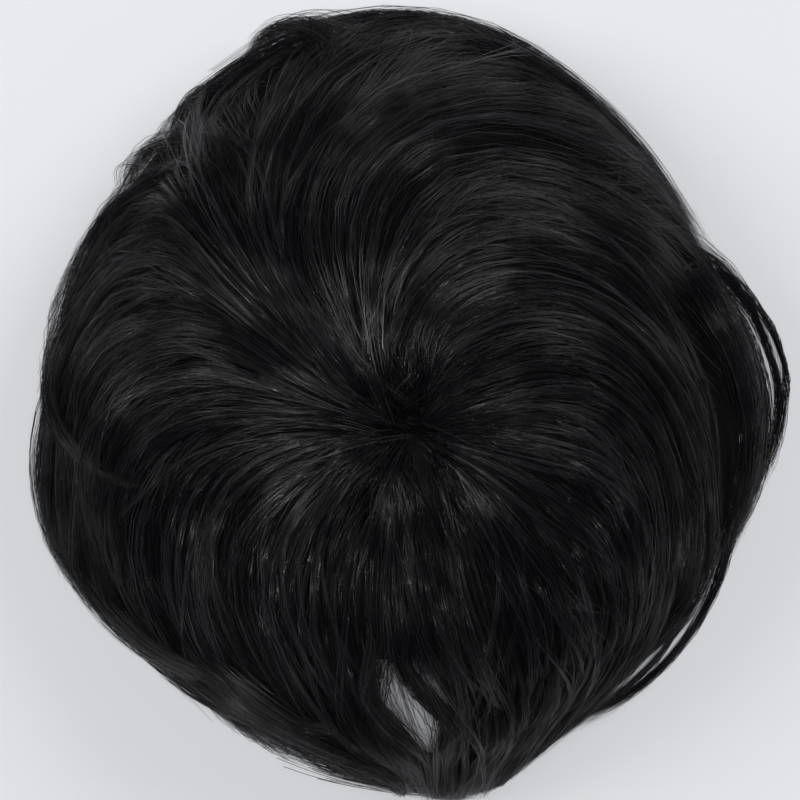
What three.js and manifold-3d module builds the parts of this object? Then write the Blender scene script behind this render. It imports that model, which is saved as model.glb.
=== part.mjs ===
// A hair topper: short straight black hair that swirls from a whorl over a domed net base.
// Millimetres, +Z up. It rests on its hair, and the origin is on that surface below its middle.
// Bearings are degrees anticlockwise from +X, seen from above, round the whorl.

import * as THREE from 'three';
import { mergeVertices } from 'three/addons/utils/BufferGeometryUtils.js';
import Module from 'manifold-3d';

const wasm = await Module();
wasm.setup();

// The dome of the crown's hair. Fall is 0 at the whorl, 1 at its waist and FOOT_FALL at the surface
const CROWN_HEIGHT = 92;
const WAIST_HEIGHT = 16;
const FOOT_FALL = 1.2;
const FULLNESS = 0.85; // below 1, the shoulders are fuller than an ellipsoid's
const DIMPLE_DEPTH = 7;
const DIMPLE_RADIUS = 12;

// Depths are measured inwards from the outside of the crown's locks
const GROOVE_DEPTH = 4.5; // between two locks
const CROWN_EDGE_DEPTH = 9;
const CROWN_EDGE_FALL = 0.7;
const CROWN_TIP_DEPTH = 6.5; // inside of a lock's tip
const CAP_DEPTH = 13;
const CAP_WALL = 1.2;
const CAP_EDGE_FALL = 0.5;
const CAP_CLEARANCE = 0.95; // to the crown's inside, with its facets
const RIM_CLEARANCE = 1.2; // from the crown's inside to the perimeter's hair, with its facets
const RIM_TOP_FALL = 0.504;
const RIM_SHOULDER_FALL = 0.86; // where the perimeter's hair comes out from under the crown
const RIM_INNER_DEPTH = 16;
const RIM_TURN = 0.6; // share of the way from shoulder to surface where the rim is widest
const RIM_TUCK = 6; // how far the hair turns in below that

// Distance from the whorl to the waist of the crown's dome, and to the rim of the perimeter's hair
const OUTLINE = [
  { bearing: 0, dome: 98, rim: 109 },
  { bearing: 20, dome: 100, rim: 111 },
  { bearing: 40, dome: 106, rim: 108 },
  { bearing: 60, dome: 114, rim: 116 },
  { bearing: 80, dome: 123, rim: 125 },
  { bearing: 100, dome: 124, rim: 127 },
  { bearing: 120, dome: 118, rim: 120 },
  { bearing: 140, dome: 112, rim: 114 },
  { bearing: 160, dome: 109, rim: 112 },
  { bearing: 180, dome: 107, rim: 110 },
  { bearing: 200, dome: 104, rim: 113 },
  { bearing: 220, dome: 102, rim: 104 },
  { bearing: 240, dome: 100, rim: 103 },
  { bearing: 260, dome: 103, rim: 106 },
  { bearing: 280, dome: 104, rim: 109 },
  { bearing: 300, dome: 99, rim: 102 },
  { bearing: 320, dome: 97, rim: 104 },
  { bearing: 340, dome: 97, rim: 103 },
];

// How the crown's hair flows: its bearings at four falls in even steps, and the fall of its tip.
// The flow parts between the last row and the first.
const CROWN_FLOW = [
  { near: 140, mid: 132, far: 122, rim: 116, end: 0.84 },
  { near: 125, mid: 116, far: 86, rim: 62, end: 0.86 },
  { near: 112, mid: 91, far: 49, rim: 30, end: 0.86 },
  { near: 97, mid: 55, far: 12, rim: -12, end: 0.85 },
  { near: 78, mid: 42, far: 4, rim: -18, end: 0.84 },
  { near: 56, mid: 30, far: -9, rim: -27, end: 0.83 },
  { near: 36, mid: 17, far: -20, rim: -36, end: 0.83 },
  { near: 16, mid: 4, far: -28, rim: -44, end: 0.83 },
  { near: -21, mid: -31, far: -46, rim: -58, end: 0.83 },
  { near: -51, mid: -61, far: -69, rim: -76, end: 0.86 },
  { near: -90, mid: -85, far: -83, rim: -83, end: 0.87 },
  { near: -132, mid: -113, far: -96, rim: -89, end: 0.87 },
  { near: -162, mid: -139, far: -107, rim: -95, end: 0.84 },
  { near: -178, mid: -166, far: -129, rim: -109, end: 0.82 },
  { near: -191, mid: -185, far: -160, rim: -132, end: 0.82 },
  { near: -202, mid: -205, far: -186, rim: -157, end: 0.83 },
  { near: -213, mid: -217, far: -214, rim: -192, end: 0.84 },
  { near: -217, mid: -223, far: -228, rim: -232, end: 0.84 },
];
const FLOW_FALLS = { first: 0.12, step: 0.26 };
const CROWN_LOCKS = 34;
const SECOND_LOCK = { deeper: 1.2, shorter: 0.05 }; // every second lock
const TIP_NOTCH = 0.13; // fall between a lock's tip and the notch beside it
const LOCKS_RISE = 0.25; // fall by which the locks stand at their full height

// How the perimeter's hair flows, from under the crown to the surface
const RIM_FLOW = [
  { root: 132, tip: 112 },
  { root: 116, tip: 82 },
  { root: 94, tip: 56 },
  { root: 68, tip: 28 },
  { root: 38, tip: -10 },
  { root: 8, tip: -40 },
  { root: -22, tip: -62 },
  { root: -50, tip: -77 },
  { root: -76, tip: -82 },
  { root: -104, tip: -86 },
  { root: -130, tip: -98 },
  { root: -156, tip: -122 },
  { root: -184, tip: -150 },
  { root: -208, tip: -180 },
  { root: -219, tip: -208 },
];
const RIM_SWEEP = 1.1;
const RIM_LOCKS = 30;
const RIM_GROOVE_DEPTH = 6;

const COLUMNS_PER_LOCK = 4;

// Loose locks that stand off the rim. Reach is the furthest place from the whorl, and lift the height there
const LOOSE_LOCKS = [
  { root: 37, tip: -14, reach: 114, lift: 13, width: 13 },
  { root: -22, tip: -62, reach: 106, lift: 9, width: 11 },
  { root: 114, tip: 70, reach: 129, lift: 20, width: 12 },
  { root: 101, tip: 117, reach: 129, lift: 26, width: 14 },
  { root: 122, tip: 135, reach: 118, lift: 24, width: 15 },
  { root: 172, tip: 208, reach: 116, lift: 14, width: 15 },
  { root: 246, tip: 281, reach: 112, lift: 9, width: 13 },
];
const LOOSE_LOCK = { rootWidth: 8, thickness: 7, stations: 8, inset: 10, tipLift: 0.55, curl: 5 };
const LOCK_SIDES = 6;
const WIDEST = 0.6; // share of a lock's length where it is widest and reaches furthest

const CAP_BEARINGS = 40;
const CAP_STEPS = 5;
const CROWN_STEPS = { outside: 10, inside: 8 };
const RIM_STEPS = { hidden: 3, outside: 6, inside: 5 };

const CLIP = { length: 30, width: 11, thickness: 1.8, corner: 5, seat: 2.9, fall: 0.39 };
const CLIPS = [
  { name: 'clip_front', bearing: 90 },
  { name: 'clip_left', bearing: 180 },
  { name: 'clip_back', bearing: 270 },
  { name: 'clip_right', bearing: 0 },
];

const hairMaterial = new THREE.MeshStandardMaterial({ color: 0x141416, roughness: 0.45, metalness: 0 });
const netMaterial = new THREE.MeshStandardMaterial({ color: 0x1d1a19, roughness: 0.85, metalness: 0 });
const clipMaterial = new THREE.MeshStandardMaterial({ color: 0x232325, roughness: 0.35, metalness: 0.6 });

const { degToRad, lerp, clamp, euclideanModulo } = THREE.MathUtils;

// The dome's or the rim's reach at any bearing, on a smooth closed curve through the outline's rows
function reachAt(bearing, key) {
  const place = (euclideanModulo(bearing, 360) * OUTLINE.length) / 360;
  const row = Math.floor(place);
  const [a, b, c, d] = [-1, 0, 1, 2].map((k) => OUTLINE[euclideanModulo(row + k, OUTLINE.length)][key]);
  const t = place - row;
  return b + 0.5 * t * (c - a + t * (2 * a - 5 * b + 4 * c - d + t * (3 * (b - c) + d - a)));
}

// A place round the whorl
function roundWhorl(bearing, radius, height) {
  const angle = degToRad(bearing);
  return new THREE.Vector3(radius * Math.cos(angle), radius * Math.sin(angle), height);
}

// A place on the dome, depth below its outside
function domePoint(bearing, fall, depth) {
  const reach = reachAt(bearing, 'dome') - depth;
  if (fall > 1) return roundWhorl(bearing, reach, (WAIST_HEIGHT * (FOOT_FALL - fall)) / (FOOT_FALL - 1));
  const slope = (fall * Math.PI) / 2;
  const radius = reach * Math.sin(slope);
  const dome = (CROWN_HEIGHT - WAIST_HEIGHT) * Math.max(0, Math.cos(slope)) ** FULLNESS;
  const shallow = Math.max(0, 1 - depth / CAP_DEPTH);
  const dimple = DIMPLE_DEPTH * shallow * Math.exp(-((radius / DIMPLE_RADIUS) ** 2));
  return roundWhorl(bearing, radius, WAIST_HEIGHT + dome - depth * Math.cos(slope) - dimple);
}

// A place on the perimeter's outside: share is 0 at the shoulder and 1 on the surface
function rimPoint(bearing, share, depth) {
  const shoulder = domePoint(bearing, RIM_SHOULDER_FALL, crownInside(RIM_SHOULDER_FALL) + RIM_CLEARANCE);
  const out = Math.sin((Math.min(1, share / RIM_TURN) * Math.PI) / 2);
  const past = Math.max(0, (share - RIM_TURN) / (1 - RIM_TURN));
  const radius = lerp(Math.hypot(shoulder.x, shoulder.y), reachAt(bearing, 'rim') - depth, out);
  return roundWhorl(bearing, radius - RIM_TUCK * past ** 2, shoulder.z * (1 - share));
}

// A closed solid from a geometry's triangles
function solidOf(geometry) {
  const bare = new THREE.BufferGeometry().setAttribute('position', geometry.getAttribute('position'));
  if (geometry.index) bare.setIndex(geometry.index);
  const merged = mergeVertices(bare, 1e-3);
  const triVerts = new Uint32Array(merged.index.array);
  return new wasm.Manifold(
    new wasm.Mesh({ numProp: 3, vertProperties: merged.attributes.position.array, triVerts }),
  );
}

function geometryOf(solid) {
  const { vertProperties, triVerts } = solid.getMesh();
  const geometry = new THREE.BufferGeometry();
  geometry.setAttribute('position', new THREE.BufferAttribute(vertProperties, 3));
  geometry.setIndex(new THREE.BufferAttribute(triVerts, 1));
  geometry.computeVertexNormals();
  return geometry;
}

function fuse(solids) {
  return solids.reduce((all, one) => all.add(one));
}

// The outer skin of a solid's largest body, without crumbs of a cut or pockets shut in between locks
function mainBody(solid) {
  return solid.decompose().sort((a, b) => b.volume() - a.volume())[0];
}

// A closed skin over rings of points: each ring joins the next, and equal neighbours leave no face
function skin(rings) {
  const corners = [];
  const face = (a, b, c) => {
    if (a.distanceTo(b) > 1e-6 && b.distanceTo(c) > 1e-6 && c.distanceTo(a) > 1e-6) corners.push(a, b, c);
  };
  for (let i = 0; i + 1 < rings.length; i++) {
    const [here, next] = [rings[i], rings[i + 1]];
    here.forEach((point, j) => {
      const k = (j + 1) % here.length;
      const [a, b, c, d] = [point, next[j], next[k], here[k]];
      const turned = b.distanceTo(d) < a.distanceTo(c) - 1e-6; // the shorter diagonal
      face(a, b, turned ? d : c);
      face(turned ? b : a, c, d);
    });
  }
  return solidOf(new THREE.BufferGeometry().setFromPoints(corners));
}

// Even shares from 0 to 1
function shares(steps) {
  return Array.from({ length: steps + 1 }, (_, i) => i / steps);
}

// A tapering lock along a route, which gives each station's centre and its way out of the hair
function lockSolid(route, { width, rootWidth, thickness, stations }) {
  const rings = [];
  for (let i = 0; i <= stations; i++) {
    const share = i / stations;
    const { centre, out } = route(share);
    const ahead = route(Math.min(1, share + 0.01)).centre;
    const behind = route(Math.max(0, share - 0.01)).centre;
    const along = ahead.sub(behind).normalize();
    const across = new THREE.Vector3().crossVectors(along, out).normalize();
    const up = new THREE.Vector3().crossVectors(across, along);
    const taper = Math.sqrt(1 - share ** 4);
    const halfWidth = (taper * lerp(rootWidth, width, Math.min(1, share / WIDEST))) / 2;
    const halfThickness = (taper * thickness) / 2;
    const ring = Array.from({ length: LOCK_SIDES }, (_, k) => {
      const turn = (k / LOCK_SIDES) * 2 * Math.PI;
      return centre
        .clone()
        .addScaledVector(across, Math.cos(turn) * halfWidth)
        .addScaledVector(up, Math.sin(turn) * halfThickness);
    });
    if (i === 0) rings.push(ring.map(() => centre));
    rings.push(ring);
  }
  return skin(rings);
}

// The flow table's row that has a given bearing in one column, or a row between two of the table's.
// The last row runs on into the first a turn later
function flowRow(flow, key, bearing) {
  const turned = Object.fromEntries(Object.entries(flow[0]).map(([k, v]) => [k, k === 'end' ? v : v - 360]));
  const rows = [...flow, turned];
  const next = rows.findIndex((row) => row[key] <= bearing);
  const [a, b] = [rows[next - 1], rows[next]];
  const share = (a[key] - bearing) / (a[key] - b[key]);
  return Object.fromEntries(Object.keys(a).map((k) => [k, lerp(a[k], b[k], share)]));
}

// Columns along the flow, anticlockwise and evenly spread in one column of its table.
// Ridge is 1 along the middle of a lock and 0 in the groove beside it
function flowColumns(flow, key, locks) {
  const count = locks * COLUMNS_PER_LOCK;
  const columns = Array.from({ length: count }, (_, i) => {
    const ridge = Math.sin((Math.PI * (i % COLUMNS_PER_LOCK)) / COLUMNS_PER_LOCK);
    const second = Math.floor(i / COLUMNS_PER_LOCK) % 2 === 1;
    return { ...flowRow(flow, key, flow[0][key] - ((i + 0.5) * 360) / count), ridge, second };
  });
  return columns.reverse();
}

// The crown's bearing along a flow row: a cubic through its four bearings
function crownBearing({ near, mid, far, rim }, fall) {
  const t = Math.max(0, (fall - FLOW_FALLS.first) / FLOW_FALLS.step);
  const ends = ((t - 1) * (t - 2)) / 6;
  const middle = (t * (t - 3)) / 2;
  return ends * (t * rim - (t - 3) * near) + middle * ((t - 2) * mid - (t - 1) * far);
}

// Depth of the crown's inside: on the base, then thinning to its edge
function crownInside(fall) {
  const share = clamp((fall - CAP_EDGE_FALL) / (CROWN_EDGE_FALL - CAP_EDGE_FALL), 0, 1);
  return lerp(CAP_DEPTH - CAP_CLEARANCE, CROWN_EDGE_DEPTH, Math.sqrt(share));
}

// Depth of the crown's outside in a column
function crownOutside({ ridge, second }, fall) {
  const stand = ridge * Math.min(1, fall / LOCKS_RISE);
  return GROOVE_DEPTH * (1 - stand) + (second ? SECOND_LOCK.deeper * stand : 0);
}

// The crown's hair: locks along the flow, on a backing over the base
function crownHair() {
  const columns = flowColumns(CROWN_FLOW, 'far', CROWN_LOCKS);
  const ringAt = (share, depthAt) =>
    columns.map((column) => {
      const { end, ridge, second } = column;
      const fall = share * (end - (1 - ridge) * TIP_NOTCH - (second ? SECOND_LOCK.shorter : 0));
      return domePoint(crownBearing(column, fall), fall, depthAt(column, fall));
    });
  const inside = (column, fall) => Math.max(crownInside(fall), crownOutside(column, fall) + 1);
  return skin([
    ...shares(CROWN_STEPS.outside).map((share) => ringAt(share, crownOutside)),
    ringAt(1, () => CROWN_TIP_DEPTH),
    ...shares(CROWN_STEPS.inside).reverse().slice(1).map((share) => ringAt(share, inside)),
  ]);
}

// The perimeter's hair: a skirt of locks from the edge of the base to the surface, and the loose locks
function perimeterHair() {
  const columns = flowColumns(RIM_FLOW, 'root', RIM_LOCKS);
  const bearingAt = ({ root, tip }, share) => root + (tip - root) * share ** RIM_SWEEP;
  const hiddenAt = (share) => {
    const fall = lerp(RIM_TOP_FALL, RIM_SHOULDER_FALL, share);
    return columns.map(({ root }) => domePoint(root, fall, crownInside(fall) + RIM_CLEARANCE));
  };
  const outsideAt = (share) =>
    columns.map((column) => {
      const groove = RIM_GROOVE_DEPTH * (1 - column.ridge) * (column.second ? 0.7 : 1);
      return rimPoint(bearingAt(column, share), share, groove);
    });
  const insideAt = (share) => {
    const fall = lerp(RIM_TOP_FALL, FOOT_FALL, share);
    const below = Math.max(0, (fall - RIM_SHOULDER_FALL) / (FOOT_FALL - RIM_SHOULDER_FALL));
    return columns.map((column) => domePoint(bearingAt(column, below), fall, RIM_INNER_DEPTH));
  };
  const skirt = skin([
    ...shares(RIM_STEPS.hidden).map(hiddenAt),
    ...shares(RIM_STEPS.outside).slice(1).map(outsideAt),
    ...shares(RIM_STEPS.inside).reverse().map(insideAt),
    hiddenAt(0),
  ]);
  return mainBody(fuse([skirt, ...LOOSE_LOCKS.map(looseLock)]));
}

function looseLock({ root, tip, reach, lift, width }) {
  const { thickness, inset, tipLift, curl } = LOOSE_LOCK;
  const start = reachAt(root, 'rim') - inset;
  const route = (share) => {
    const bearing = lerp(root, tip, share);
    const out = Math.sin((Math.min(1, share / WIDEST) * Math.PI) / 2);
    const past = Math.max(0, (share - WIDEST) / (1 - WIDEST));
    const radius = lerp(start, reach - thickness / 2, out) - curl * past ** 2;
    const height = lift * (1 - (1 - tipLift) * past ** 2);
    return { centre: roundWhorl(bearing, radius, height), out: roundWhorl(bearing, 1, 0.25) };
  };
  return lockSolid(route, { ...LOOSE_LOCK, width });
}

// The net base: a domed wall
function baseCap() {
  const ringAt = (share, depth) =>
    Array.from({ length: CAP_BEARINGS }, (_, i) =>
      domePoint((i * 360) / CAP_BEARINGS, share * CAP_EDGE_FALL, depth),
    );
  const steps = shares(CAP_STEPS);
  return skin([
    ...steps.map((share) => ringAt(share, CAP_DEPTH)),
    ...steps.reverse().map((share) => ringAt(share, CAP_DEPTH + CAP_WALL)),
  ]);
}

// A plain clip plate with rounded ends, lying in XY
function clipGeometry() {
  const { length, width, thickness, corner } = CLIP;
  const [x, y] = [length / 2, width / 2];
  const plate = new THREE.Shape();
  plate.moveTo(-x + corner, -y);
  plate.lineTo(x - corner, -y);
  plate.absarc(x - corner, -y + corner, corner, -Math.PI / 2, 0);
  plate.absarc(x - corner, y - corner, corner, 0, Math.PI / 2);
  plate.absarc(-x + corner, y - corner, corner, Math.PI / 2, Math.PI);
  plate.absarc(-x + corner, -y + corner, corner, Math.PI, 1.5 * Math.PI);
  return new THREE.ExtrudeGeometry(plate, { depth: thickness, bevelEnabled: false, curveSegments: 4 });
}

// A clip under the base, its length along the edge and its flat face towards the scalp
function clipMesh({ name, bearing }) {
  const clip = new THREE.Mesh(clipGeometry(), clipMaterial);
  const seat = domePoint(bearing, CLIP.fall, CAP_DEPTH + CAP_WALL + CLIP.seat);
  const inward = domePoint(bearing, CLIP.fall, CAP_DEPTH + 1).sub(domePoint(bearing, CLIP.fall, CAP_DEPTH));
  const along = roundWhorl(bearing + 90, 1, 0);
  inward.normalize();
  const across = new THREE.Vector3().crossVectors(inward, along);
  clip.applyMatrix4(new THREE.Matrix4().makeBasis(along, across, inward).setPosition(seat));
  clip.name = name;
  return clip;
}

function named(name, solid, material) {
  const mesh = new THREE.Mesh(geometryOf(solid), material);
  mesh.name = name;
  return mesh;
}

const topper = new THREE.Group();
topper.add(
  named('base_cap', baseCap(), netMaterial),
  named('hair_crown', crownHair(), hairMaterial),
  named('hair_perimeter', perimeterHair(), hairMaterial),
  ...CLIPS.map(clipMesh),
);

// The origin goes below the middle of the whole
const middle = new THREE.Box3().setFromObject(topper, true).getCenter(new THREE.Vector3());
for (const piece of topper.children) piece.position.sub(new THREE.Vector3(middle.x, middle.y, 0));

export default topper;
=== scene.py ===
"""A short black hair topper lying on a pale surface, seen from straight above.

Lengths are millimetres until a mesh is made, and the objects are in metres. Bearings are degrees
anticlockwise from +X round the whorl, seen from above. Fall says how far down the hair a place lies: 0 at
the whorl, 1 at the waist of the dome and FOOT on the surface.
"""

import math

import bpy
import numpy as np
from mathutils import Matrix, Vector


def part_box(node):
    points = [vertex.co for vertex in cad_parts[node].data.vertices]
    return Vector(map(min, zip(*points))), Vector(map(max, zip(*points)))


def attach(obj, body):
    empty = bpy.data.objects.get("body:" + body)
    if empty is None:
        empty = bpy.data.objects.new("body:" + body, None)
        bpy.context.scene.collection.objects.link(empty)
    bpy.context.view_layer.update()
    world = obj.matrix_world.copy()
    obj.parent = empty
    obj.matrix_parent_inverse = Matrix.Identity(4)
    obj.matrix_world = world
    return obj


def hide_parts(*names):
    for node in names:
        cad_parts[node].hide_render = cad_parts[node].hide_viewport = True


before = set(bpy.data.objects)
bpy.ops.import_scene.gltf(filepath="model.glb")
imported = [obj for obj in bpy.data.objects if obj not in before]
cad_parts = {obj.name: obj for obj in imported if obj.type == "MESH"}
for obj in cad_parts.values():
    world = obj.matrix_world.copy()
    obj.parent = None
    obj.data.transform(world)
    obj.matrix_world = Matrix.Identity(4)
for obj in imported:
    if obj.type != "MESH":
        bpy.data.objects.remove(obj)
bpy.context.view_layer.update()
rng = np.random.default_rng(11)

MM = 0.001

# The whorl stands over the middle of the clips
clip_low, clip_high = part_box("clip_front")
side_low, side_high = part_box("clip_left")
WHORL = np.array([(clip_low[0] + clip_high[0]) / 2, (side_low[1] + side_high[1]) / 2, 0]) / MM

# The dome that the hair lies on, as in the solids
CROWN_HEIGHT = 92
WAIST_HEIGHT = 16
FULLNESS = 0.85
FOOT = 1.2
SHOULDER = 0.8  # below this fall the hair leaves the dome for the rim
RIM_TURN = 0.6  # share of the way from shoulder to surface where the rim is widest
RIM_TUCK = 5
RIM_DEPTH = 0.45  # the layers lie closer together at the rim
DIMPLE_DEPTH = 5
DIMPLE_RADIUS = 8
DIMPLE_MOST = 1.2  # share of the dimple's depth that hair above the outside may take
LEAST_HEIGHT = 0.4  # of the hair over the surface
LEAST_CORNER = 0.05  # of a strand's corners over the surface

# Distance from the whorl to the waist of the dome and to the rim of the hair, in even steps of bearing
OUTLINE = [
    {"bearing": 0, "dome": 98, "rim": 104},
    {"bearing": 20, "dome": 100, "rim": 106},
    {"bearing": 40, "dome": 106, "rim": 109},
    {"bearing": 60, "dome": 114, "rim": 114},
    {"bearing": 80, "dome": 123, "rim": 124.5},
    {"bearing": 100, "dome": 124, "rim": 126},
    {"bearing": 120, "dome": 118, "rim": 121},
    {"bearing": 140, "dome": 112, "rim": 115},
    {"bearing": 160, "dome": 109, "rim": 113},
    {"bearing": 180, "dome": 107, "rim": 111},
    {"bearing": 200, "dome": 104, "rim": 114},
    {"bearing": 220, "dome": 102, "rim": 104},
    {"bearing": 240, "dome": 100, "rim": 105},
    {"bearing": 260, "dome": 103, "rim": 107},
    {"bearing": 280, "dome": 104, "rim": 112},
    {"bearing": 300, "dome": 99, "rim": 101},
    {"bearing": 320, "dome": 97, "rim": 102},
    {"bearing": 340, "dome": 97, "rim": 103.5},
]
DOME = np.array([row["dome"] for row in OUTLINE], float)
RIM = np.array([row["rim"] for row in OUTLINE], float)

# How the hair flows: its bearing at each of these falls. It parts between the last row and the first
FLOW_FALLS = np.array([0.12, 0.38, 0.64, 0.9, FOOT])
FLOW = np.array(
    [
        (140, 132, 122, 116, 100),
        (125, 116, 86, 60, 28),
        (112, 91, 50, 26, -14),
        (97, 55, 14, -16, -56),
        (78, 42, 4, -24, -62),
        (56, 30, -8, -34, -70),
        (36, 17, -18, -43, -75),
        (16, 4, -27, -51, -79),
        (-21, -30, -43, -62, -82),
        (-51, -60, -66, -76, -85),
        (-90, -85, -82, -83, -86),
        (-132, -113, -98, -90, -88),
        (-162, -141, -113, -95, -90),
        (-178, -167, -136, -106, -91),
        (-191, -186, -164, -127, -97),
        (-202, -206, -190, -152, -110),
        (-213, -218, -216, -186, -134),
        (-217, -223, -228, -232, -236),
    ],
    float,
)
FLOW_STEPS = 40  # between two rows, where a place is looked up by its bearing

# Layers of hair, by the falls that their roots lie between, with the number of points along a strand
LAYERS = [
    {"name": "crown_whorl", "roots": (0.004, 0.06), "strands": 600, "length": 84, "depth": 1, "points": 12},
    {"name": "crown_top", "roots": (0.03, 0.17), "strands": 2900, "length": 118, "depth": 0.6, "points": 12},
    {"name": "crown_mid", "roots": (0.12, 0.3), "strands": 2700, "length": 118, "depth": 1.6, "points": 12},
    {"name": "crown_low", "roots": (0.26, 0.42), "strands": 2550, "length": 122, "depth": 2.8, "points": 10},
    {"name": "perimeter", "roots": (0.38, 0.5), "strands": 3050, "length": 128, "depth": 3.4, "points": 9},
]
STRAND_RADIUS = (0.06, 0.105)
STRAND_TIP = 0.3  # share of its radius that a strand keeps at its tip
STRAND_CENTRE = 40  # a strand faces away from a point this far below the surface
POINT_SPACING = 1.15  # above 1, the points along a strand lie closer at its root
TRACK_STEPS = 28
EVEN_SHARE = 0.4  # share of the strands that are spread evenly round the rim, the others round their roots
EVEN_FALL = 0.9
ROOT_DEPTH = 5  # at the whorl
ROOT_SLOPE = 40  # how much deeper the roots lie for each unit of fall
ROOT_SHARE = 0.12  # of a strand, that rises from its root to its layer
CLEARANCE = 0.5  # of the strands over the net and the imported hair
MOST_RISE = 2  # of the strands over the outside
LAYER_TONE = (2, 3)  # powers of the spread of tones, from dark to light
SHEEN_GAIN = 1.9
SHEEN_PATCHES = 45  # in a metre

# The strands gather into wisps, the wisps into locks and the locks into sheaves
SHEAVES = 26
LOCKS = 76
WISPS = 380
GROUP_FALL = 0.64  # where the groups are told apart
GROUP_JITTER = 0.35  # of their places, as a share of their spacing

# How one group differs from the next: limits of a draw or else its spread, with sway in rows of the flow
SHEAF = {"depth": (-0.8, 3), "sway": 0.5}
LOCK = {
    "depth": 0.8,
    "length": (0.84, 1.1),
    "gather": (0.2, 0.7),
    "sway": 0.18,
    "waves": (1.2, 2.4),
    "tone": 0.16,
}
WISP = {"depth": 0.4, "sway": 0.11, "whorl_sway": 0.2}
STRAND = {"depth": 0.25, "length": (0.82, 1.06), "sway": 0.04, "whorl_sway": 0.2}
SWAY_FALL = 0.15  # round here the sway at the whorl dies away
SWAY_POWER = 1.4  # above 1, the sheaves sway more towards their tips
SCATTER = (5, 3)  # spread of the sheaves along x and y, near the whorl
SCATTER_FALL = 0.16  # round here it dies away
LOCK_EDGE = 1.5  # how much deeper the strands at the edge of a lock lie
WISP_GATHER = 0.7  # share of the way that strands go to the middle of their wisp
WISP_SPEED = 1.6  # how soon they go it

# Waves in the depth of the hair, from the whorl to the foot: their number and height
SWELLS = [
    {"group": "lock", "waves": (1.6, 3), "height": (1.2, 3.6)},
    {"group": "lock", "waves": (3, 4.2), "height": (0.3, 1.3)},
    {"group": "wisp", "waves": (2.5, 4.5), "height": (0.2, 0.9)},
]
SWELL_SPEED = 6  # how soon they grow to their height

# Tufts that stand off the rim: bearing at root and tip, reach and heights at root, middle and tip
TUFTS = [
    {"bearing": (33, -12), "reach": (98, 113, 104), "heights": (34, 15, 3), "width": 4, "strands": 150},
    {"bearing": (28, -22), "reach": (96, 107, 101), "heights": (36, 17, 3), "width": 6, "strands": 220},
    {"bearing": (26, -32), "reach": (95, 102, 99), "heights": (44, 30, 3), "width": 10, "strands": 300},
    {"bearing": (-14, -66), "reach": (100, 105, 99), "heights": (22, 10, 3), "width": 2.4, "strands": 110},
    {"bearing": (-22, -60), "reach": (94, 101, 100), "heights": (28, 14, 3), "width": 2, "strands": 70},
    {"bearing": (-30, -80), "reach": (97, 98, 110), "heights": (28, 14, 3), "width": 7, "strands": 240},
    {"bearing": (223, 276), "reach": (94, 98, 110), "heights": (28, 14, 3), "width": 9, "strands": 320},
    {"bearing": (230, 280), "reach": (90, 95, 109), "heights": (55, 49, 12), "width": 10, "strands": 250},
    {"bearing": (202, 260), "reach": (108, 101, 103), "heights": (22, 10, 3), "width": 5, "strands": 160},
    {"bearing": (203, 241), "reach": (105, 98, 83), "heights": (22, 43, 60), "width": 8, "strands": 200},
    {"bearing": (222, 262), "reach": (98, 94, 87), "heights": (34, 51, 57), "width": 7, "strands": 200},
    {"bearing": (176, 208), "reach": (102.5, 110, 108), "heights": (26, 14, 3), "width": 9, "strands": 320},
    {"bearing": (144, 184), "reach": (107, 105.5, 101), "heights": (32, 22, 12), "width": 6, "strands": 240},
    {"bearing": (164, 192), "reach": (103, 103, 80), "heights": (34, 41, 70), "width": 7, "strands": 220},
    {"bearing": (117, 58), "reach": (117, 123.5, 112), "heights": (34, 20, 3), "width": 6, "strands": 200},
    {"bearing": (78, 30), "reach": (118, 110, 103), "heights": (34, 22, 3), "width": 6, "strands": 180},
    {"bearing": (100, 114), "reach": (117, 126, 120), "heights": (36, 26, 14), "width": 6, "strands": 160},
    {"bearing": (115, 130), "reach": (110, 117, 110), "heights": (36, 24, 12), "width": 7, "strands": 200},
    {"bearing": (127, 140), "reach": (107, 114, 108), "heights": (32, 22, 12), "width": 5, "strands": 90},
    {"bearing": (130, 141), "reach": (105, 116, 109), "heights": (34, 26, 10), "width": 3, "strands": 16},
    {"bearing": (127, 153), "reach": (95, 107, 109), "heights": (48, 35, 18), "width": 9, "strands": 170},
    {"bearing": (257, 281), "reach": (102, 106, 112), "heights": (18, 9, 3), "width": 8, "strands": 160},
]
TUFT_POINTS = 8
TUFT_TONE = (2, 2.6)  # powers, as for the layers
TUFT_LENGTH = (0.7, 1.0)
TUFT_WIDTH = 1.2  # at the root, as a share of the width in the table
TUFT_TAPER = 0.9  # share of it that is lost on the way to the tip
TUFT_SPREAD = 0.55
TUFT_MOST = 1.2  # the spread goes no further
TUFT_HEIGHT = 1.4  # of its section, as a share of its width
TUFT_SWAY = 1.2
TUFT_FAN = 2.5  # degrees that the roots are fanned out

# Partings that show the surface below: middle from the whorl, heading, length and width
PARTINGS = [
    {"middle": (0.4, -80.6), "heading": -41, "length": 36, "width": 17},
    {"middle": (6.5, -72.5), "heading": -50, "length": 26, "width": 6},
    {"middle": (103, 42.5), "heading": -46, "length": 18, "width": 4},
    {"middle": (110, 24), "heading": -68, "length": 26, "width": 4},
    {"middle": (83, -29), "heading": -98, "length": 24, "width": 3},
    {"middle": (69, -72), "heading": 43, "length": 28, "width": 4},
    {"middle": (60, -71), "heading": 52, "length": 18, "width": 2.5},
    {"middle": (15, 122), "heading": -10, "length": 16, "width": 2},
]
CROSSING = 0.06  # share of the strands that lie across a parting
FEATHER = (0.35, 1.15)  # share of the width by which a strand gives way
GIVE = 2  # strands this far outside a parting give way too
OPENING_MARGIN = 6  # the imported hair's openings are this much wider
OPENING_CORE = 0.2  # share of an opening that isn't pushed out to its edge

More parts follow.
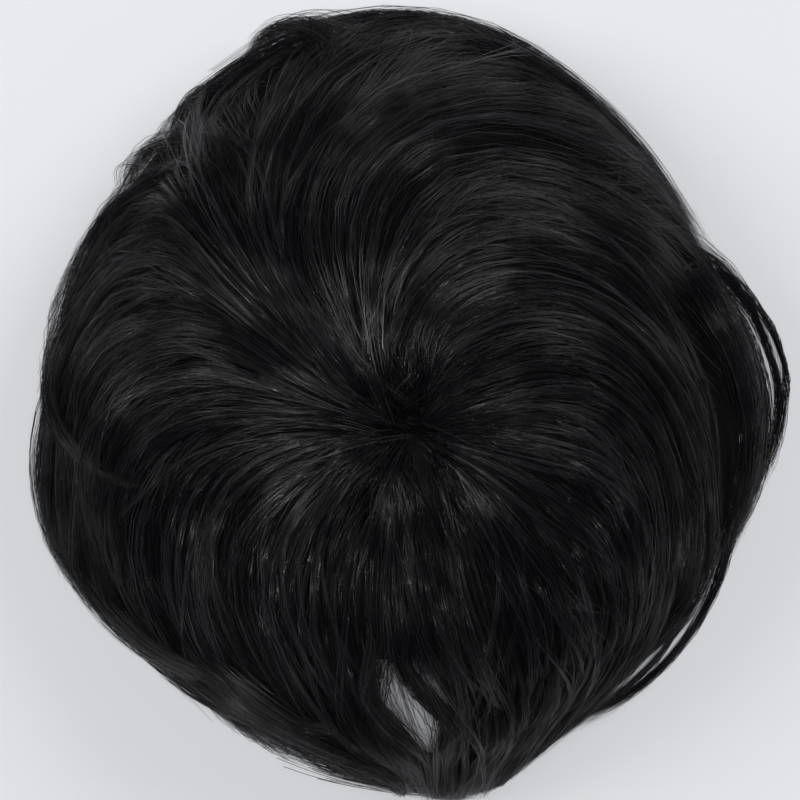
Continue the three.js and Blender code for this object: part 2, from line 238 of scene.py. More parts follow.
# Loose hairs, most of them in bundles: the falls where they start, how far they run and where they end
STRAYS = 960
BUNDLED = 780  # strays that lie in bundles
BUNDLE_SIZE = 6
STRAY_POINTS = 10
STRAY_RADIUS = (0.07, 0.1)
STRAY_TONE = (0.7, 1)
STRAY_START = (0.05, 0.5)
STRAY_RUN = (0.3, 0.6)
STRAY_END = 1.08
STRAY_FALL = 0.4  # where they are spread evenly
STRAY_DEPTH = 1.2
STRAY_LIFT = (0.6, 2.8)
STRAY_TURN = 0.5  # spread of their way across the flow, in its rows
IN_BUNDLE = {"turn": 0.03, "place": 0.02, "lift": 0.15}  # spreads between the hairs of one bundle

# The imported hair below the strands, with locks in relief
UNDERLAYER_DEPTH = 9.5
UNDERLAYER_START = 0.002
UNDERLAYER_LAP = (0.81, 0.82)  # from the perimeter's first fall to the crown's last
UNDERLAYER_EDGE = 1.195
UNDERLAYER_COLUMNS = 216
UNDERLAYER_ROWS = 32
UNDERLAYER_LOCKS = 54
UNDERLAYER_RELIEF = 1.6
RELIEF_FALL = 0.3  # where the relief is fully grown

# The base: a net sheet with sewn rings of weft below it and a ribbon round its edge
BASE_DEPTH = 13
BASE_EDGE = 0.5
NET_START = 0.006
NET_WALL = 0.8
NET_ROWS = 16
NET_COLUMNS = 96
WEFTS = 9
WEFT_FALLS = (0.06, 0.44)
WEFT_RADIUS = 0.7
WEFT_DROP = 0.5  # of its middle below the net
WEFT_POINTS = 73
WEFT_TONE = (0.2, 0.8)
RIBBON_FALLS = (0.462, 0.502)
RIBBON_RISE = 0.7
RIBBON_ROWS = 3
RIBBON_COLUMNS = 120

# The clips, as the plates in the solids. Levels are in halves of the thickness
CLIP_LENGTH = 30
CLIP_WIDTH = 11
CLIP_CORNER = 5
CLIP_THICKNESS = 1.8
CLIP_SLOPE = 35.1  # degrees, that the plate leans out
CLIP_RAIL = 2.2  # width of the frame round the plate's opening
CLIP_TONGUE = 1.8
CLIP_TOOTH = 0.8
CLIP_TEETH = 8
TEETH_REACH = 0.36  # of the row to each side, as a share of the length
CLIP_LEVELS = {"frame": (-0.35, 1), "tongue": (-0.2, 0.7), "tooth": (-1, -0.3)}
CLIP_BEARINGS = {"clip_right": 0, "clip_front": 90, "clip_left": 180, "clip_back": 270}
SOLID = 0.02  # inner outline of a solid bar, as a share of its outer one

# The surface, the camera and the light, in metres and watts
SURFACE_SIZE = 6
CAMERA_HEIGHT = 1.4
SENSOR_WIDTH = 36  # millimetres
FRAME_WIDTH = 0.240  # seen at the height of the rim
RIM_HEIGHT = 0.016
VIEW_MIDDLE = (-0.00195, 0.0006)
LIGHT_AIM = Vector((0, 0, 0.03))
LIGHTS = [
    {"name": "overhead", "place": (*VIEW_MIDDLE, 2.3), "size": 0.3, "watts": 27},
    {"name": "right", "place": (1.4, 1.0, 1.7), "size": 1.4, "watts": 17},
    {"name": "left", "place": (-1.6, 0.4, 1.7), "size": 1.4, "watts": 16},
]
STUDIO_COLOUR = (0.95, 0.97, 1, 1)
STUDIO_STRENGTH = 0.11


def between(a, b, c, d, t):
    """A smooth curve from b to c, as t goes from 0 to 1, with a before them and d after."""
    return b + 0.5 * t * (c - a + t * (2 * a - 5 * b + 4 * c - d + t * (3 * (b - c) + d - a)))


def around(values, bearing):
    """Values in even steps of bearing, read at any bearing."""
    place = np.mod(bearing, 360) * len(values) / 360
    row = np.floor(place).astype(int)
    return between(*(values[(row + k) % len(values)] for k in (-1, 0, 1, 2)), place - row)


def flow_rows(place):
    """The flow's bearings at places between its rows, one more axis than place has."""
    row = np.floor(place).astype(int)

    def at(k):
        turns, index = np.divmod(row + k, len(FLOW))
        return FLOW[index] - 360 * turns[..., None]

    return between(at(-1), at(0), at(1), at(2), (place - row)[..., None])


def flow_bearing(place, fall):
    """Bearing of the flow at places between its rows and at falls, of the same shape."""
    rows = flow_rows(place)
    fall = np.clip(fall, FLOW_FALLS[0], FLOW_FALLS[-1])
    slopes = np.gradient(rows, FLOW_FALLS, axis=-1)
    k = np.clip(np.searchsorted(FLOW_FALLS, fall) - 1, 0, len(FLOW_FALLS) - 2)
    step = FLOW_FALLS[k + 1] - FLOW_FALLS[k]
    t = (fall - FLOW_FALLS[k]) / step

    def pick(table, index):
        return np.take_along_axis(table, index[..., None], -1)[..., 0]

    start = pick(rows, k)
    stop = pick(rows, k + 1)
    ease = t * t * (3 - 2 * t)
    bend = t * (1 - t) * step * ((1 - t) * pick(slopes, k) - t * pick(slopes, k + 1))
    return start + (stop - start) * ease + bend


def flow_place(bearing, fall):
    """Places between the flow's rows that have these bearings at one fall."""
    grid = np.linspace(0, len(FLOW), FLOW_STEPS * len(FLOW) + 1)
    lines = flow_bearing(grid, np.full_like(grid, fall))
    wanted = lines[0] - np.mod(lines[0] - bearing, 360)
    return np.interp(-wanted, -lines, grid)


def shortest_turn(turn):
    """A difference of places between the flow's rows, taken the shorter way round."""
    rows = len(FLOW)
    return np.mod(turn + rows / 2, rows) - rows / 2


def polar(bearing, radius, height):
    """Places round the whorl."""
    angle = np.radians(bearing)
    return np.stack([radius * np.cos(angle), radius * np.sin(angle), height + 0 * radius], -1) + WHORL


def hair_place(bearing, fall, depth):
    """Places on the hair, depth below its outside."""
    slope = np.minimum(fall, SHOULDER) * np.pi / 2
    radius = (around(DOME, bearing) - depth) * np.sin(slope)
    height = WAIST_HEIGHT + (CROWN_HEIGHT - WAIST_HEIGHT) * np.cos(slope) ** FULLNESS - depth * np.cos(slope)
    shallow = np.clip(1 - depth / BASE_DEPTH, 0, DIMPLE_MOST)
    height = height - DIMPLE_DEPTH * shallow * np.exp(-((radius / DIMPLE_RADIUS) ** 2))
    share = np.clip((fall - SHOULDER) / (FOOT - SHOULDER), 0, 1)
    out = np.sin(np.minimum(1, share / RIM_TURN) * np.pi / 2)
    past = np.maximum(0, (share - RIM_TURN) / (1 - RIM_TURN))
    radius = radius + (around(RIM, bearing) - RIM_DEPTH * depth - radius) * out - RIM_TUCK * past**2
    return polar(bearing, radius, np.maximum(height * (1 - share), LEAST_HEIGHT))


def parting_axes(parting):
    """Level directions along and across a parting."""
    heading = math.radians(parting["heading"])
    along = (math.cos(heading), math.sin(heading), 0)
    across = (-math.sin(heading), math.cos(heading), 0)
    return np.array([along, across])


def in_parting(points, parting):
    """Distances along and across a parting, in its own half length and in millimetres."""
    ahead, aside = parting_axes(parting)
    x = points[..., 0] - WHORL[0] - parting["middle"][0]
    y = points[..., 1] - WHORL[1] - parting["middle"][1]
    along = (x * ahead[0] + y * ahead[1]) / (parting["length"] / 2)
    return along, x * aside[0] + y * aside[1]


def part_hair(points):
    """Strands moved aside, each to one side, round the partings."""
    count = len(points)
    for parting in PARTINGS:
        along, across = in_parting(points, parting)
        lens = parting["width"] / 2 * np.sqrt(np.clip(1 - along**2, 0, 1))
        half = lens * rng.uniform(*FEATHER, (count, 1))
        nearest = np.argmin(np.hypot(along, across / parting["width"]), 1)
        side = np.where(np.take_along_axis(across, nearest[:, None], 1) < 0, -1, 1)
        clear = side * np.sqrt(np.maximum(side * across, 0) ** 2 + half**2)
        close = np.clip(2 - np.abs(across) / (half + GIVE), 0, 1)
        crossing = rng.random(count) < CROSSING
        shift = np.where((half > 0) & ~crossing[:, None], (clear - across) * close, 0)
        _, aside = parting_axes(parting)
        points = points + shift[..., None] * aside
    return points


def unit(vectors):
    """Vectors of the same directions, one long."""
    return vectors / np.maximum(np.linalg.norm(vectors, axis=-1, keepdims=True), 1e-9)


def new_piece(name, points, faces, uv, material, nodes):
    """A smooth piece from arrays: points in millimetres, faces in lists of equal sides, uv by point."""
    mesh = bpy.data.meshes.new(name)
    corners = np.concatenate([f.ravel() for f in faces])
    sides = np.concatenate([np.full(len(f), f.shape[1]) for f in faces])
    mesh.vertices.add(len(points))
    mesh.vertices.foreach_set("co", (points * MM).astype(np.float32).ravel())
    mesh.loops.add(len(corners))
    mesh.loops.foreach_set("vertex_index", corners.astype(np.int32))
    mesh.polygons.add(len(sides))
    mesh.polygons.foreach_set("loop_start", (np.cumsum(sides) - sides).astype(np.int32))
    mesh.polygons.foreach_set("use_smooth", np.ones(len(sides), bool))
    mesh.uv_layers.new(name="OFBake").data.foreach_set("uv", uv[corners].astype(np.float32).ravel())
    mesh.update(calc_edges=True)
    mesh.validate()
    mesh.materials.append(material)
    piece = bpy.data.objects.new(name, mesh)
    bpy.context.collection.objects.link(piece)
    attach(piece, "root")
    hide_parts(*nodes)
    return piece


def strand_piece(name, points, radius, tone, nodes, material, tip=STRAND_TIP):
    """Closed three-sided tubes along strands. Tone, from 0 to 1, picks a strand's colour and sheen."""
    count, stations = points.shape[:2]
    along = unit(np.gradient(points, axis=1))
    out = unit(points - WHORL + (0, 0, STRAND_CENTRE))
    side = unit(np.cross(along, out))
    up = np.cross(side, along)
    share = np.linspace(0, 1, stations)
    width = radius[:, None] * (1 - (1 - tip) * share**3)
    spin = rng.uniform(0, 2 * np.pi, (count, 1))
    rings = []
    for k in range(3):
        turn = (spin + k * 2 * np.pi / 3)[..., None]
        rings.append(points + width[..., None] * (np.cos(turn) * side + np.sin(turn) * up))
    corners = np.stack(rings, 2).reshape(-1, 3)
    corners[:, 2] = np.maximum(corners[:, 2], LEAST_CORNER)
    index = np.arange(count * stations * 3).reshape(count, stations, 3)
    here = index[:, :-1]
    ahead = index[:, 1:]
    quads = np.stack([here, np.roll(here, -1, 2), np.roll(ahead, -1, 2), ahead], -1).reshape(-1, 4)
    ends = np.concatenate([index[:, 0, ::-1], index[:, -1]])
    uv = np.empty((count, stations, 3, 2))
    uv[..., 0] = tone[:, None, None]
    uv[..., 1] = share[None, :, None]
    piece = new_piece(name, corners, [quads, ends], uv.reshape(-1, 2), material, nodes)


def along_track(falls, track, length, shares):
    """Falls at shares of the length along each track, which ends where it does if the strand is longer."""
    steps = np.linalg.norm(np.diff(track, axis=1), axis=2)
    run = np.concatenate([np.zeros((len(steps), 1)), np.cumsum(steps, 1)], 1)
    wanted = np.minimum(length, run[:, -1])[:, None] * shares
    return np.stack([np.interp(w, r, f) for w, r, f in zip(wanted, run, falls)])


def nearest_of(bearing, count):
    """For each bearing, the nearest of count bearings spread round the whorl, and which one it is."""
    centres = (np.arange(count) + rng.uniform(-GROUP_JITTER, GROUP_JITTER, count)) * 360 / count
    apart = np.mod(bearing[:, None] - centres + 180, 360) - 180
    which = np.argmin(np.abs(apart), 1)
    return bearing - apart[np.arange(len(bearing)), which], which


def each(group, draw):
    """One draw for each of the groups that the strands belong to, as a column with a row for each strand."""
    return draw(size=group.max() + 1)[group][:, None]


def spread(low, high):
    """A draw between two limits."""
    return lambda size: rng.uniform(low, high, size)


def normal(width):
    """A draw round 0."""
    return lambda size: rng.normal(0, width, size)


def layer_strands(layer):
    """Strands of one layer, rooted in the base: their points and tones."""
    count = layer["strands"]
    inner, outer = layer["roots"]
    start = np.sqrt(rng.uniform(inner**2, outer**2, count))
    turn = rng.uniform(0, 360, count)
    even = rng.random(count) < EVEN_SHARE
    place = np.where(even, flow_place(turn, EVEN_FALL), flow_place(turn, (inner + outer) / 2))

    # The groups that each strand belongs to, and its turn towards their middles
    far = flow_bearing(place, np.full(count, GROUP_FALL))
    _, sheaf = nearest_of(far, SHEAVES)
    lock_far, lock = nearest_of(far, LOCKS)
    wisp_far, wisp = nearest_of(far, WISPS)
    lock_turn = shortest_turn(flow_place(lock_far, GROUP_FALL) - place)[:, None]
    wisp_turn = shortest_turn(flow_place(wisp_far, GROUP_FALL) - place)[:, None]
    offset = (np.mod(far - lock_far + 180, 360) - 180) * LOCKS / 180

    # Depth and length, and from them the falls of the points
    share = np.linspace(0, 1, layer["points"]) ** POINT_SPACING
    depth = layer["depth"] + each(sheaf, spread(*SHEAF["depth"])) + each(lock, normal(LOCK["depth"]))
    depth = depth + LOCK_EDGE * offset[:, None] ** 2
    depth = depth + each(wisp, normal(WISP["depth"])) + rng.normal(0, STRAND["depth"], (count, 1))
    length = layer["length"] * each(lock, spread(*LOCK["length"]))[:, 0]
    length = length * rng.uniform(*STRAND["length"], count)
    falls = start[:, None] + (FOOT - start[:, None]) * np.linspace(0, 1, TRACK_STEPS)
    bearing = flow_bearing(np.repeat(place[:, None], TRACK_STEPS, 1), falls)
    fall = along_track(falls, hair_place(bearing, falls, depth), length, share)

    # The way across the flow: drawn together and swaying
    way = fall / FOOT
    gather = each(lock, spread(*LOCK["gather"])) * way
    wisp_gather = WISP_GATHER * np.minimum(1, WISP_SPEED * share) * (1 - gather)
    wave = np.sin(2 * np.pi * (each(lock, spread(*LOCK["waves"])) * way + each(lock, spread(0, 1))))
    sway = each(sheaf, normal(SHEAF["sway"])) * way**SWAY_POWER
    sway = sway + each(lock, normal(LOCK["sway"])) * wave * way
    sway = sway + each(wisp, normal(WISP["sway"])) * way
    sway = sway + rng.normal(0, STRAND["sway"], (count, 1)) * share**2
    whorl_sway = each(wisp, normal(WISP["whorl_sway"])) + rng.normal(0, STRAND["whorl_sway"], (count, 1))
    sway = sway + whorl_sway * np.exp(-((fall / SWAY_FALL) ** 2))
    places = place[:, None] + lock_turn * gather + wisp_turn * wisp_gather + sway

    # The way up and down: rising from the root and waving
    root_depth = np.minimum(BASE_DEPTH, ROOT_DEPTH + ROOT_SLOPE * start)[:, None]
    rise = np.clip(1 - share / ROOT_SHARE, 0, 1)
    swell = 0
    for row in SWELLS:
        group = {"lock": lock, "wisp": wisp}[row["group"]]
        phase = each(group, spread(*row["waves"])) * way + each(group, spread(0, 1))
        swell = swell + np.sin(2 * np.pi * phase) * each(group, spread(*row["height"]))
    depths = depth + (root_depth - depth) * rise + swell * np.minimum(1, SWELL_SPEED * way)
    lowest = np.where(fall < BASE_EDGE, BASE_DEPTH, UNDERLAYER_DEPTH) - CLEARANCE
    points = hair_place(flow_bearing(places, fall), fall, np.clip(depths, -MOST_RISE, lowest))

    x, y = (each(sheaf, normal(width)) for width in SCATTER)
    scatter = np.stack([x, y, np.zeros((count, 1))], -1)
    points = points + scatter * np.exp(-((fall / SCATTER_FALL) ** 2))[..., None]
    tone = rng.beta(*LAYER_TONE, count) + each(lock, normal(LOCK["tone"]))[:, 0]
    return part_hair(points), np.clip(tone, 0, 1)


def tuft_points(tuft):
    """Strands of one tuft, on a curve through its root, middle and tip."""
    count = tuft["strands"]
    share = np.linspace(0, 1, TUFT_POINTS) * rng.uniform(*TUFT_LENGTH, (count, 1))
    first = (1 - share) * (1 - 2 * share)
    middle = 4 * share * (1 - share)
    last = share * (2 * share - 1)

    def curve(values):
        return first * values[0] + middle * values[1] + last * values[2]

    root, tip = tuft["bearing"]
    taper = tuft["width"] / 2 * (TUFT_WIDTH - TUFT_TAPER * share)
    offset = np.clip(rng.normal(0, TUFT_SPREAD, (2, count, 1)), -TUFT_MOST, TUFT_MOST)
    sway = rng.normal(0, TUFT_SWAY, (count, 1)) * share**2
    bearing = root + (tip - root) * share + rng.normal(0, TUFT_FAN, (count, 1)) * (1 - share)
    reach = curve(tuft["reach"]) + offset[0] * taper + sway
    height = curve(tuft["heights"]) + TUFT_HEIGHT * offset[1] * taper
    return part_hair(polar(bearing, reach, height))


def stray_points():
    """Loose hairs that leave the flow and stand a little off it, most of them in thin bundles."""
    number = np.arange(STRAYS)
    bundle = np.where(number < BUNDLED, number // BUNDLE_SIZE, number)

    def shared(low, high):
        return rng.uniform(low, high, STRAYS)[bundle]

    start = shared(*STRAY_START)
    end = np.minimum(start + shared(*STRAY_RUN), STRAY_END)
    share = np.linspace(0, 1, STRAY_POINTS)
    fall = start[:, None] + (end - start)[:, None] * share
    turn = rng.normal(0, STRAY_TURN, STRAYS)[bundle][:, None] * share**1.5
    turn = turn + rng.normal(0, IN_BUNDLE["turn"], (STRAYS, 1)) * share
    place = flow_place(shared(0, 360), STRAY_FALL) + rng.normal(0, IN_BUNDLE["place"], STRAYS)
    lift = shared(*STRAY_LIFT) + rng.normal(0, IN_BUNDLE["lift"], STRAYS)
    depth = STRAY_DEPTH - lift[:, None] * np.sin(share * np.pi) ** 0.5
    return hair_place(flow_bearing(place[:, None] + turn, fall), fall, depth)


def underlayer_piece(name, first, last, nodes, material):
    """Packed hair between two falls, with locks in relief and left open at the partings."""
    columns = UNDERLAYER_COLUMNS
    rows = UNDERLAYER_ROWS
    fall = np.linspace(first, last, rows)
    even = flow_place(np.linspace(0, -360, columns, endpoint=False), GROUP_FALL)
    places, falls = np.meshgrid(even, fall, indexing="ij")
    phase = np.arange(columns)[:, None] * UNDERLAYER_LOCKS / columns * np.pi
    relief = UNDERLAYER_RELIEF * (1 - np.abs(np.sin(phase))) * np.minimum(1, falls / RELIEF_FALL)
    points = hair_place(flow_bearing(places, falls), falls, UNDERLAYER_DEPTH + relief).reshape(-1, 3)
    index = np.arange(columns * rows).reshape(columns, rows)
    ahead = np.roll(index, -1, 0)
    quads = np.stack([index[:, :-1], index[:, 1:], ahead[:, 1:], ahead[:, :-1]], -1).reshape(-1, 4)
    for parting in PARTINGS:
        along, across = in_parting(points, parting)
        half = np.array([parting["length"], parting["width"] + OPENING_MARGIN]) / 2
        away = np.stack([along, across / half[1]], -1)
        reach = np.linalg.norm(away, axis=1)
        quads = quads[(reach[quads] > 1).any(1)]
        push = np.maximum(1 / np.maximum(reach, OPENING_CORE) - 1, 0)[:, None] * away * half
        points = points + push @ parting_axes(parting)
    uv = np.stack([np.repeat(np.arange(columns) / columns, rows), np.tile(fall / FOOT, columns)], -1)
    piece = new_piece(name, points, [quads], uv, material, nodes)


def sheet_piece(name, falls, upper, lower, columns, material):
    """A closed wall of the base along these falls, with its upper and lower faces at these depths."""
    rows = np.concatenate([falls, falls[::-1]])
    depths = np.concatenate([np.full(len(falls), upper), np.full(len(falls), lower)])
    bearings = np.linspace(0, 360, columns + 1)
    around_base, down = np.meshgrid(bearings, rows, indexing="ij")
    points = hair_place(around_base, down, np.broadcast_to(depths, down.shape)).reshape(-1, 3)
    index = np.arange(len(points)).reshape(columns + 1, -1)
    here = index[:-1]
    ahead = index[1:]
    quads = np.stack([here, np.roll(here, -1, 1), np.roll(ahead, -1, 1), ahead], -1).reshape(-1, 4)
    uv = np.stack([around_base / 360, down], -1).reshape(-1, 2)
    piece = new_piece(name, points, [quads], uv, material, ["base_cap"])


def base_pieces(net, ribbon):
    """The net, its wefts and the ribbon round its edge."""
    lower = BASE_DEPTH + NET_WALL
    net_falls = np.linspace(NET_START, BASE_EDGE, NET_ROWS)
    sheet_piece("base_net", net_falls, BASE_DEPTH, lower, NET_COLUMNS, net)
    ribbon_falls = np.linspace(*RIBBON_FALLS, RIBBON_ROWS)
    upper = BASE_DEPTH - RIBBON_RISE
    sheet_piece("base_ribbon", ribbon_falls, upper, lower + RIBBON_RISE, RIBBON_COLUMNS, ribbon)
    falls = np.linspace(*WEFT_FALLS, WEFTS)[:, None] + np.zeros(WEFT_POINTS)
    turns = np.linspace(0, 360, WEFT_POINTS) + np.zeros((WEFTS, 1))
    wefts = hair_place(turns, falls, lower + WEFT_DROP)
    radius = np.full(WEFTS, WEFT_RADIUS)
    tone = np.linspace(*WEFT_TONE, WEFTS)
    strand_piece("base_wefts", wefts, radius, tone, ["base_cap"], ribbon, tip=1)


def rounded_outline(length, width, corner, steps=6):
    """A rounded oblong, anticlockwise."""
    corner = min(corner, width / 2, length / 2)
    turn = np.linspace(0, np.pi / 2, steps)
    sides = []
    for quarter, (x, y) in enumerate([(1, 1), (-1, 1), (-1, -1), (1, -1)]):
        angle = turn + quarter * np.pi / 2
        middle = np.array([x * (length / 2 - corner), y * (width / 2 - corner)])
        sides.append(middle + corner * np.stack([np.cos(angle), np.sin(angle)], -1))
    return np.concatenate(sides)


def clip_piece(name, bearing, material):
    """A clip: a frame, a spring tongue inside it and a row of teeth across the opening."""
    box = np.array(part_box(name)) / MM
    middle = (box[0] + box[1]) / 2
    turn = math.radians(bearing)
    lean = math.radians(CLIP_SLOPE)
    along = np.array([-math.sin(turn), math.cos(turn), 0])
    out = np.array([math.sin(lean) * math.cos(turn), math.sin(lean) * math.sin(turn), math.cos(lean)])
    down = np.cross(along, out)
    points = []
    faces = []

    def band(part, outer, inner):
        """A closed band between two outlines of as many points, a solid bar if the inner one is tiny."""
        low, high = (level * CLIP_THICKNESS / 2 for level in CLIP_LEVELS[part])
        count = len(outer)
        loops = [(outer, high), (inner, high), (inner, low), (outer, low)]
        corners = np.concatenate([np.column_stack([loop, np.full(count, level)]) for loop, level in loops])
        index = np.arange(4 * count).reshape(4, count) + sum(len(p) for p in points)
        ahead = np.roll(index, -1, 1)
        quads = np.stack([index, ahead, np.roll(ahead, -1, 0), np.roll(index, -1, 0)], -1)
        faces.append(quads.reshape(-1, 4))
        points.append(middle + corners @ np.stack([along, down, out]))

    frame_outline = rounded_outline(CLIP_LENGTH, CLIP_WIDTH, CLIP_CORNER)
    opening = rounded_outline(CLIP_LENGTH - 2 * CLIP_RAIL, CLIP_WIDTH - 2 * CLIP_RAIL, CLIP_CORNER)
    band("frame", frame_outline, opening)
    tongue = rounded_outline(CLIP_LENGTH - 3 * CLIP_RAIL, CLIP_TONGUE, CLIP_TONGUE / 2)
    band("tongue", tongue, tongue * SOLID)
    tooth = rounded_outline(CLIP_TOOTH, CLIP_WIDTH - CLIP_RAIL, CLIP_TOOTH / 2, steps=3)
    for x in np.linspace(-TEETH_REACH, TEETH_REACH, CLIP_TEETH) * CLIP_LENGTH:
        band("tooth", tooth + (x, 0), tooth * SOLID + (x, 0))
    corners = np.concatenate(points)
    uv = (corners - middle) @ np.stack([along, down], -1) / CLIP_LENGTH + 0.5
    piece = new_piece(name + "_dressed", corners, [np.concatenate(faces)], uv, material, [name])
    piece.data.polygons.foreach_set("use_smooth", np.zeros(len(piece.data.polygons), bool))


def principled(name, roughness, specular):
    """A new material with its node tree and shader."""
    material = bpy.data.materials.new(name)
    material.use_nodes = True
    shader = material.node_tree.nodes["Principled BSDF"]
    shader.inputs["Roughness"].default_value = roughness
    shader.inputs["Specular IOR Level"].default_value = specular
    return material, material.node_tree, shader


def ramp(tree, value, stops):
    """The colour at a value, between stops of a position and a colour each."""
    node = tree.nodes.new("ShaderNodeValToRGB")
    elements = node.color_ramp.elements
    for element, (position, colour) in zip((elements[0], elements[1]), (stops[0], stops[-1])):
        element.position = position
        element.color = (*colour, 1)
    for position, colour in stops[1:-1]:
        elements.new(position).color = (*colour, 1)
    tree.links.new(value, node.inputs["Fac"])
    return node.outputs["Color"]


def grey(*stops):
    """Stops of a position and a level of grey each, as stops of a ramp."""
    return [(position, (level, level, level)) for position, level in stops]


def mapped_uv(tree, scale):
    """The piece's own coordinates, scaled."""
    uv = tree.nodes.new("ShaderNodeUVMap")
    uv.uv_map = "OFBake"
    mapping = tree.nodes.new("ShaderNodeMapping")
    mapping.inputs["Scale"].default_value = (*scale, 1)
    tree.links.new(uv.outputs["UV"], mapping.inputs["Vector"])
    return mapping.outputs["Vector"]


def noise_at(tree, vector, scale, detail=2):
    """Smooth noise, from 0 to 1."""
    noise = tree.nodes.new("ShaderNodeTexNoise")
    noise.inputs["Scale"].default_value = scale
    noise.inputs["Detail"].default_value = detail
    tree.links.new(vector, noise.inputs["Vector"])
    return noise.outputs["Fac"]


def multiply(tree, a, b):
    """The product of two colours."""
    node = tree.nodes.new("ShaderNodeMix")
    node.data_type = "RGBA"
    node.blend_type = "MULTIPLY"
    node.inputs["Factor"].default_value = 1
    tree.links.new(a, node.inputs["A"])
    tree.links.new(b, node.inputs["B"])
    return node.outputs["Result"]


def raise_surface(tree, shader, height, strength, distance):
    """Fine relief, distance high."""
    bump = tree.nodes.new("ShaderNodeBump")
    bump.inputs["Strength"].default_value = strength
    bump.inputs["Distance"].default_value = distance * MM
    tree.links.new(height, bump.inputs["Height"])
    tree.links.new(bump.outputs["Normal"], shader.inputs["Normal"])


def hair_material():
    """Black hair: each strand has its own tone and sheen, duller at its root and warmer towards its tip."""
    material, tree, shader = principled("black hair", roughness=0.29, specular=0.4)
    parts = tree.nodes.new("ShaderNodeSeparateXYZ")
    tree.links.new(mapped_uv(tree, (1, 1)), parts.inputs["Vector"])
    strand = parts.outputs["X"]
    way = parts.outputs["Y"]
    tones = [(0, (0.0048, 0.0048, 0.0058)), (0.6, (0.0068, 0.0068, 0.0083)), (1, (0.0145, 0.0145, 0.017))]
    warmth = [(0.5, (0.8, 0.8, 0.85)), (1, (1.0, 0.97, 0.93))]
    colour = multiply(tree, ramp(tree, strand, tones), ramp(tree, way, warmth))
    tree.links.new(colour, shader.inputs["Base Color"])
    sheen = ramp(tree, strand, grey((0, 0.22), (0.35, 0.5), (0.8, 1.0)))
    root = ramp(tree, way, grey((0.05, 0.5), (0.4, 1.0)))
    place = tree.nodes.new("ShaderNodeTexCoord")
    noise = noise_at(tree, place.outputs["Object"], SHEEN_PATCHES)
    patches = ramp(tree, noise, grey((0.42, 0.2), (0.68, 1.0)))
    gain = tree.nodes.new("ShaderNodeMath")
    gain.operation = "MULTIPLY"
    gain.inputs[1].default_value = SHEEN_GAIN
    tree.links.new(multiply(tree, multiply(tree, sheen, root), patches), gain.inputs[0])
    tree.links.new(gain.outputs["Value"], shader.inputs["Specular IOR Level"])
    return material


def underlayer_material():
    """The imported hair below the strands: dark, with fine streaks along the flow."""
    material, tree, shader = principled("packed hair", roughness=0.7, specular=0.08)
    noise = noise_at(tree, mapped_uv(tree, (700, 9)), scale=1, detail=6)
    colour = ramp(tree, noise, [(0.3, (0.003, 0.003, 0.0034)), (0.75, (0.009, 0.009, 0.01))])
    tree.links.new(colour, shader.inputs["Base Color"])
    raise_surface(tree, shader, noise, strength=0.7, distance=0.5)
    return material


def woven_material(name, scale, dark, light, relief):
    """Black thread woven two ways, with a fine raised pattern, its colour lighter on the thread crests as a
    painted highlight and darker between the threads as painted shade.
    """
    material, tree, shader = principled(name, roughness=0.8, specular=0.2)
    vector = mapped_uv(tree, scale)
    thread = tree.nodes.new("ShaderNodeMath")
    thread.operation = "MAXIMUM"
    for number, direction in enumerate(("X", "Y")):
        wave = tree.nodes.new("ShaderNodeTexWave")
        wave.bands_direction = direction
        wave.inputs["Scale"].default_value = 1
        wave.inputs["Distortion"].default_value = 0.4
        tree.links.new(vector, wave.inputs["Vector"])
        tree.links.new(wave.outputs["Fac"], thread.inputs[number])
    # dark is painted shade between the threads and light a painted highlight on their crests
    colour = ramp(tree, thread.outputs["Value"], [(0.35, dark), (0.95, light)])
    tree.links.new(colour, shader.inputs["Base Color"])
    raise_surface(tree, shader, thread.outputs["Value"], strength=0.8, distance=relief)
    return material


def enamel_material():
    """Black satin enamel with faint unevenness."""
    material, tree, shader = principled("black enamel", roughness=0.38, specular=0.5)
    noise = noise_at(tree, mapped_uv(tree, (14, 14)), scale=1, detail=4)
    colour = ramp(tree, noise, [(0.3, (0.012, 0.012, 0.014)), (0.75, (0.035, 0.035, 0.038))])
    tree.links.new(colour, shader.inputs["Base Color"])
    return material


def surface_material():
    """A pale surface, very faintly mottled."""
    material, tree, shader = principled("pale surface", roughness=0.75, specular=0.2)
    noise = tree.nodes.new("ShaderNodeTexNoise")
    noise.inputs["Scale"].default_value = 3
    colour = ramp(tree, noise.outputs["Fac"], [(0, (0.80, 0.81, 0.84)), (1, (0.81, 0.82, 0.85))])
    tree.links.new(colour, shader.inputs["Base Color"])
    return material


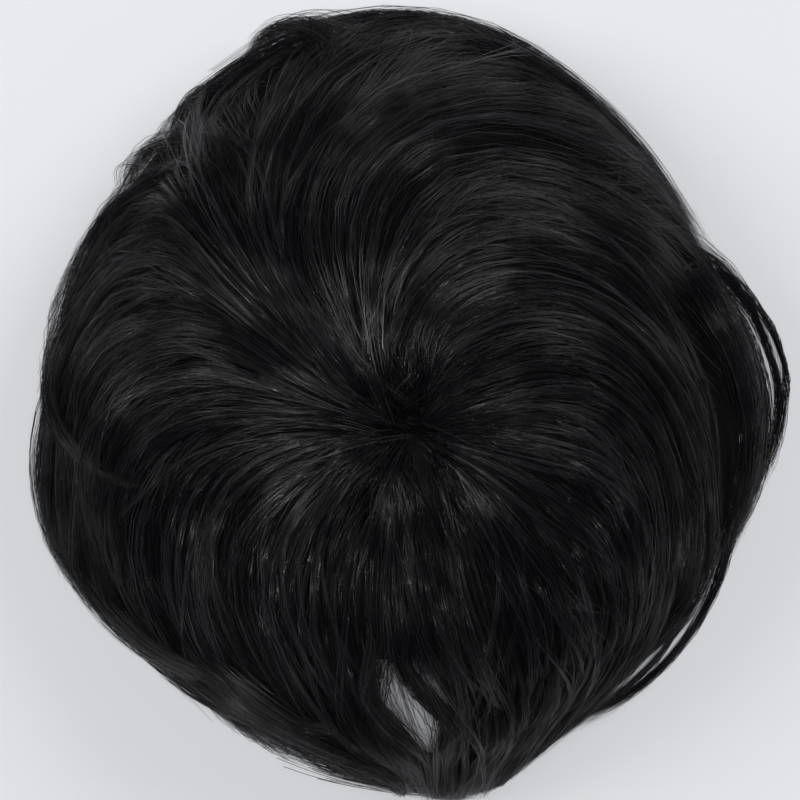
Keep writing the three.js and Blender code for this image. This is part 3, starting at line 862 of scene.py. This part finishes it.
def hair_pieces():
    """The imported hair, the layers of strands over it, the tufts and the loose hairs."""
    hair = hair_material()
    packed = underlayer_material()
    lap_start, lap_end = UNDERLAYER_LAP
    underlayer_piece("crown_underlayer", UNDERLAYER_START, lap_end, ["hair_crown"], packed)
    underlayer_piece("perimeter_underlayer", lap_start, UNDERLAYER_EDGE, ["hair_perimeter"], packed)
    for layer in LAYERS:
        node = "hair_perimeter" if layer["name"] == "perimeter" else "hair_crown"
        points, tone = layer_strands(layer)
        radius = rng.uniform(*STRAND_RADIUS, len(points))
        strand_piece(layer["name"] + "_strands", points, radius, tone, [node], hair)
    tufts = np.concatenate([tuft_points(tuft) for tuft in TUFTS])
    radius = rng.uniform(*STRAND_RADIUS, len(tufts))
    tone = rng.beta(*TUFT_TONE, len(tufts))
    strand_piece("perimeter_tufts", tufts, radius, tone, ["hair_perimeter"], hair)
    strays = stray_points()
    tone = rng.uniform(*STRAY_TONE, STRAYS)
    radius = rng.uniform(*STRAY_RADIUS, STRAYS)
    strand_piece("crown_strays", strays, radius, tone, ["hair_crown"], hair)


def floor():
    """The surface that the topper lies on."""
    bpy.ops.mesh.primitive_plane_add(size=SURFACE_SIZE)
    plane = bpy.context.object
    plane.name = "surface"
    plane.data.materials.append(surface_material())


def softbox(row):
    """A round lamp of the studio, turned to the topper."""
    light = bpy.data.lights.new(row["name"], "AREA")
    light.shape = "DISK"
    light.size = row["size"]
    light.energy = row["watts"]
    lamp = bpy.data.objects.new(row["name"], light)
    lamp.location = row["place"]
    lamp.rotation_mode = "QUATERNION"
    lamp.rotation_quaternion = (LIGHT_AIM - Vector(row["place"])).to_track_quat("-Z", "Y")
    bpy.context.collection.objects.link(lamp)


def studio():
    """The even light from all round."""
    world = bpy.data.worlds.new("studio")
    bpy.context.scene.world = world
    world.use_nodes = True
    background = world.node_tree.nodes["Background"]
    background.inputs["Color"].default_value = STUDIO_COLOUR
    background.inputs["Strength"].default_value = STUDIO_STRENGTH


def look_down():
    """The camera, straight above."""
    camera = bpy.data.cameras.new("camera")
    camera.sensor_width = SENSOR_WIDTH
    camera.lens = SENSOR_WIDTH * (CAMERA_HEIGHT - RIM_HEIGHT) / FRAME_WIDTH
    eye = bpy.data.objects.new("camera", camera)
    eye.location = (*VIEW_MIDDLE, CAMERA_HEIGHT)
    bpy.context.collection.objects.link(eye)
    bpy.context.scene.camera = eye
    bpy.context.scene.view_settings.view_transform = "Standard"


# the dark and light colours of each weave are painted shade between its threads and a painted highlight on
# their crests
net_thread = woven_material(
    "net", scale=(110, 60), dark=(0.004, 0.004, 0.004), light=(0.03, 0.027, 0.025), relief=0.3
)
ribbon_thread = woven_material(
    "ribbon", scale=(300, 120), dark=(0.008, 0.008, 0.008), light=(0.035, 0.033, 0.032), relief=0.15
)
enamel = enamel_material()
base_pieces(net_thread, ribbon_thread)
for clip, clip_bearing in CLIP_BEARINGS.items():
    clip_piece(clip, clip_bearing, enamel)
hair_pieces()

floor()
for light_row in LIGHTS:
    softbox(light_row)
studio()
look_down()
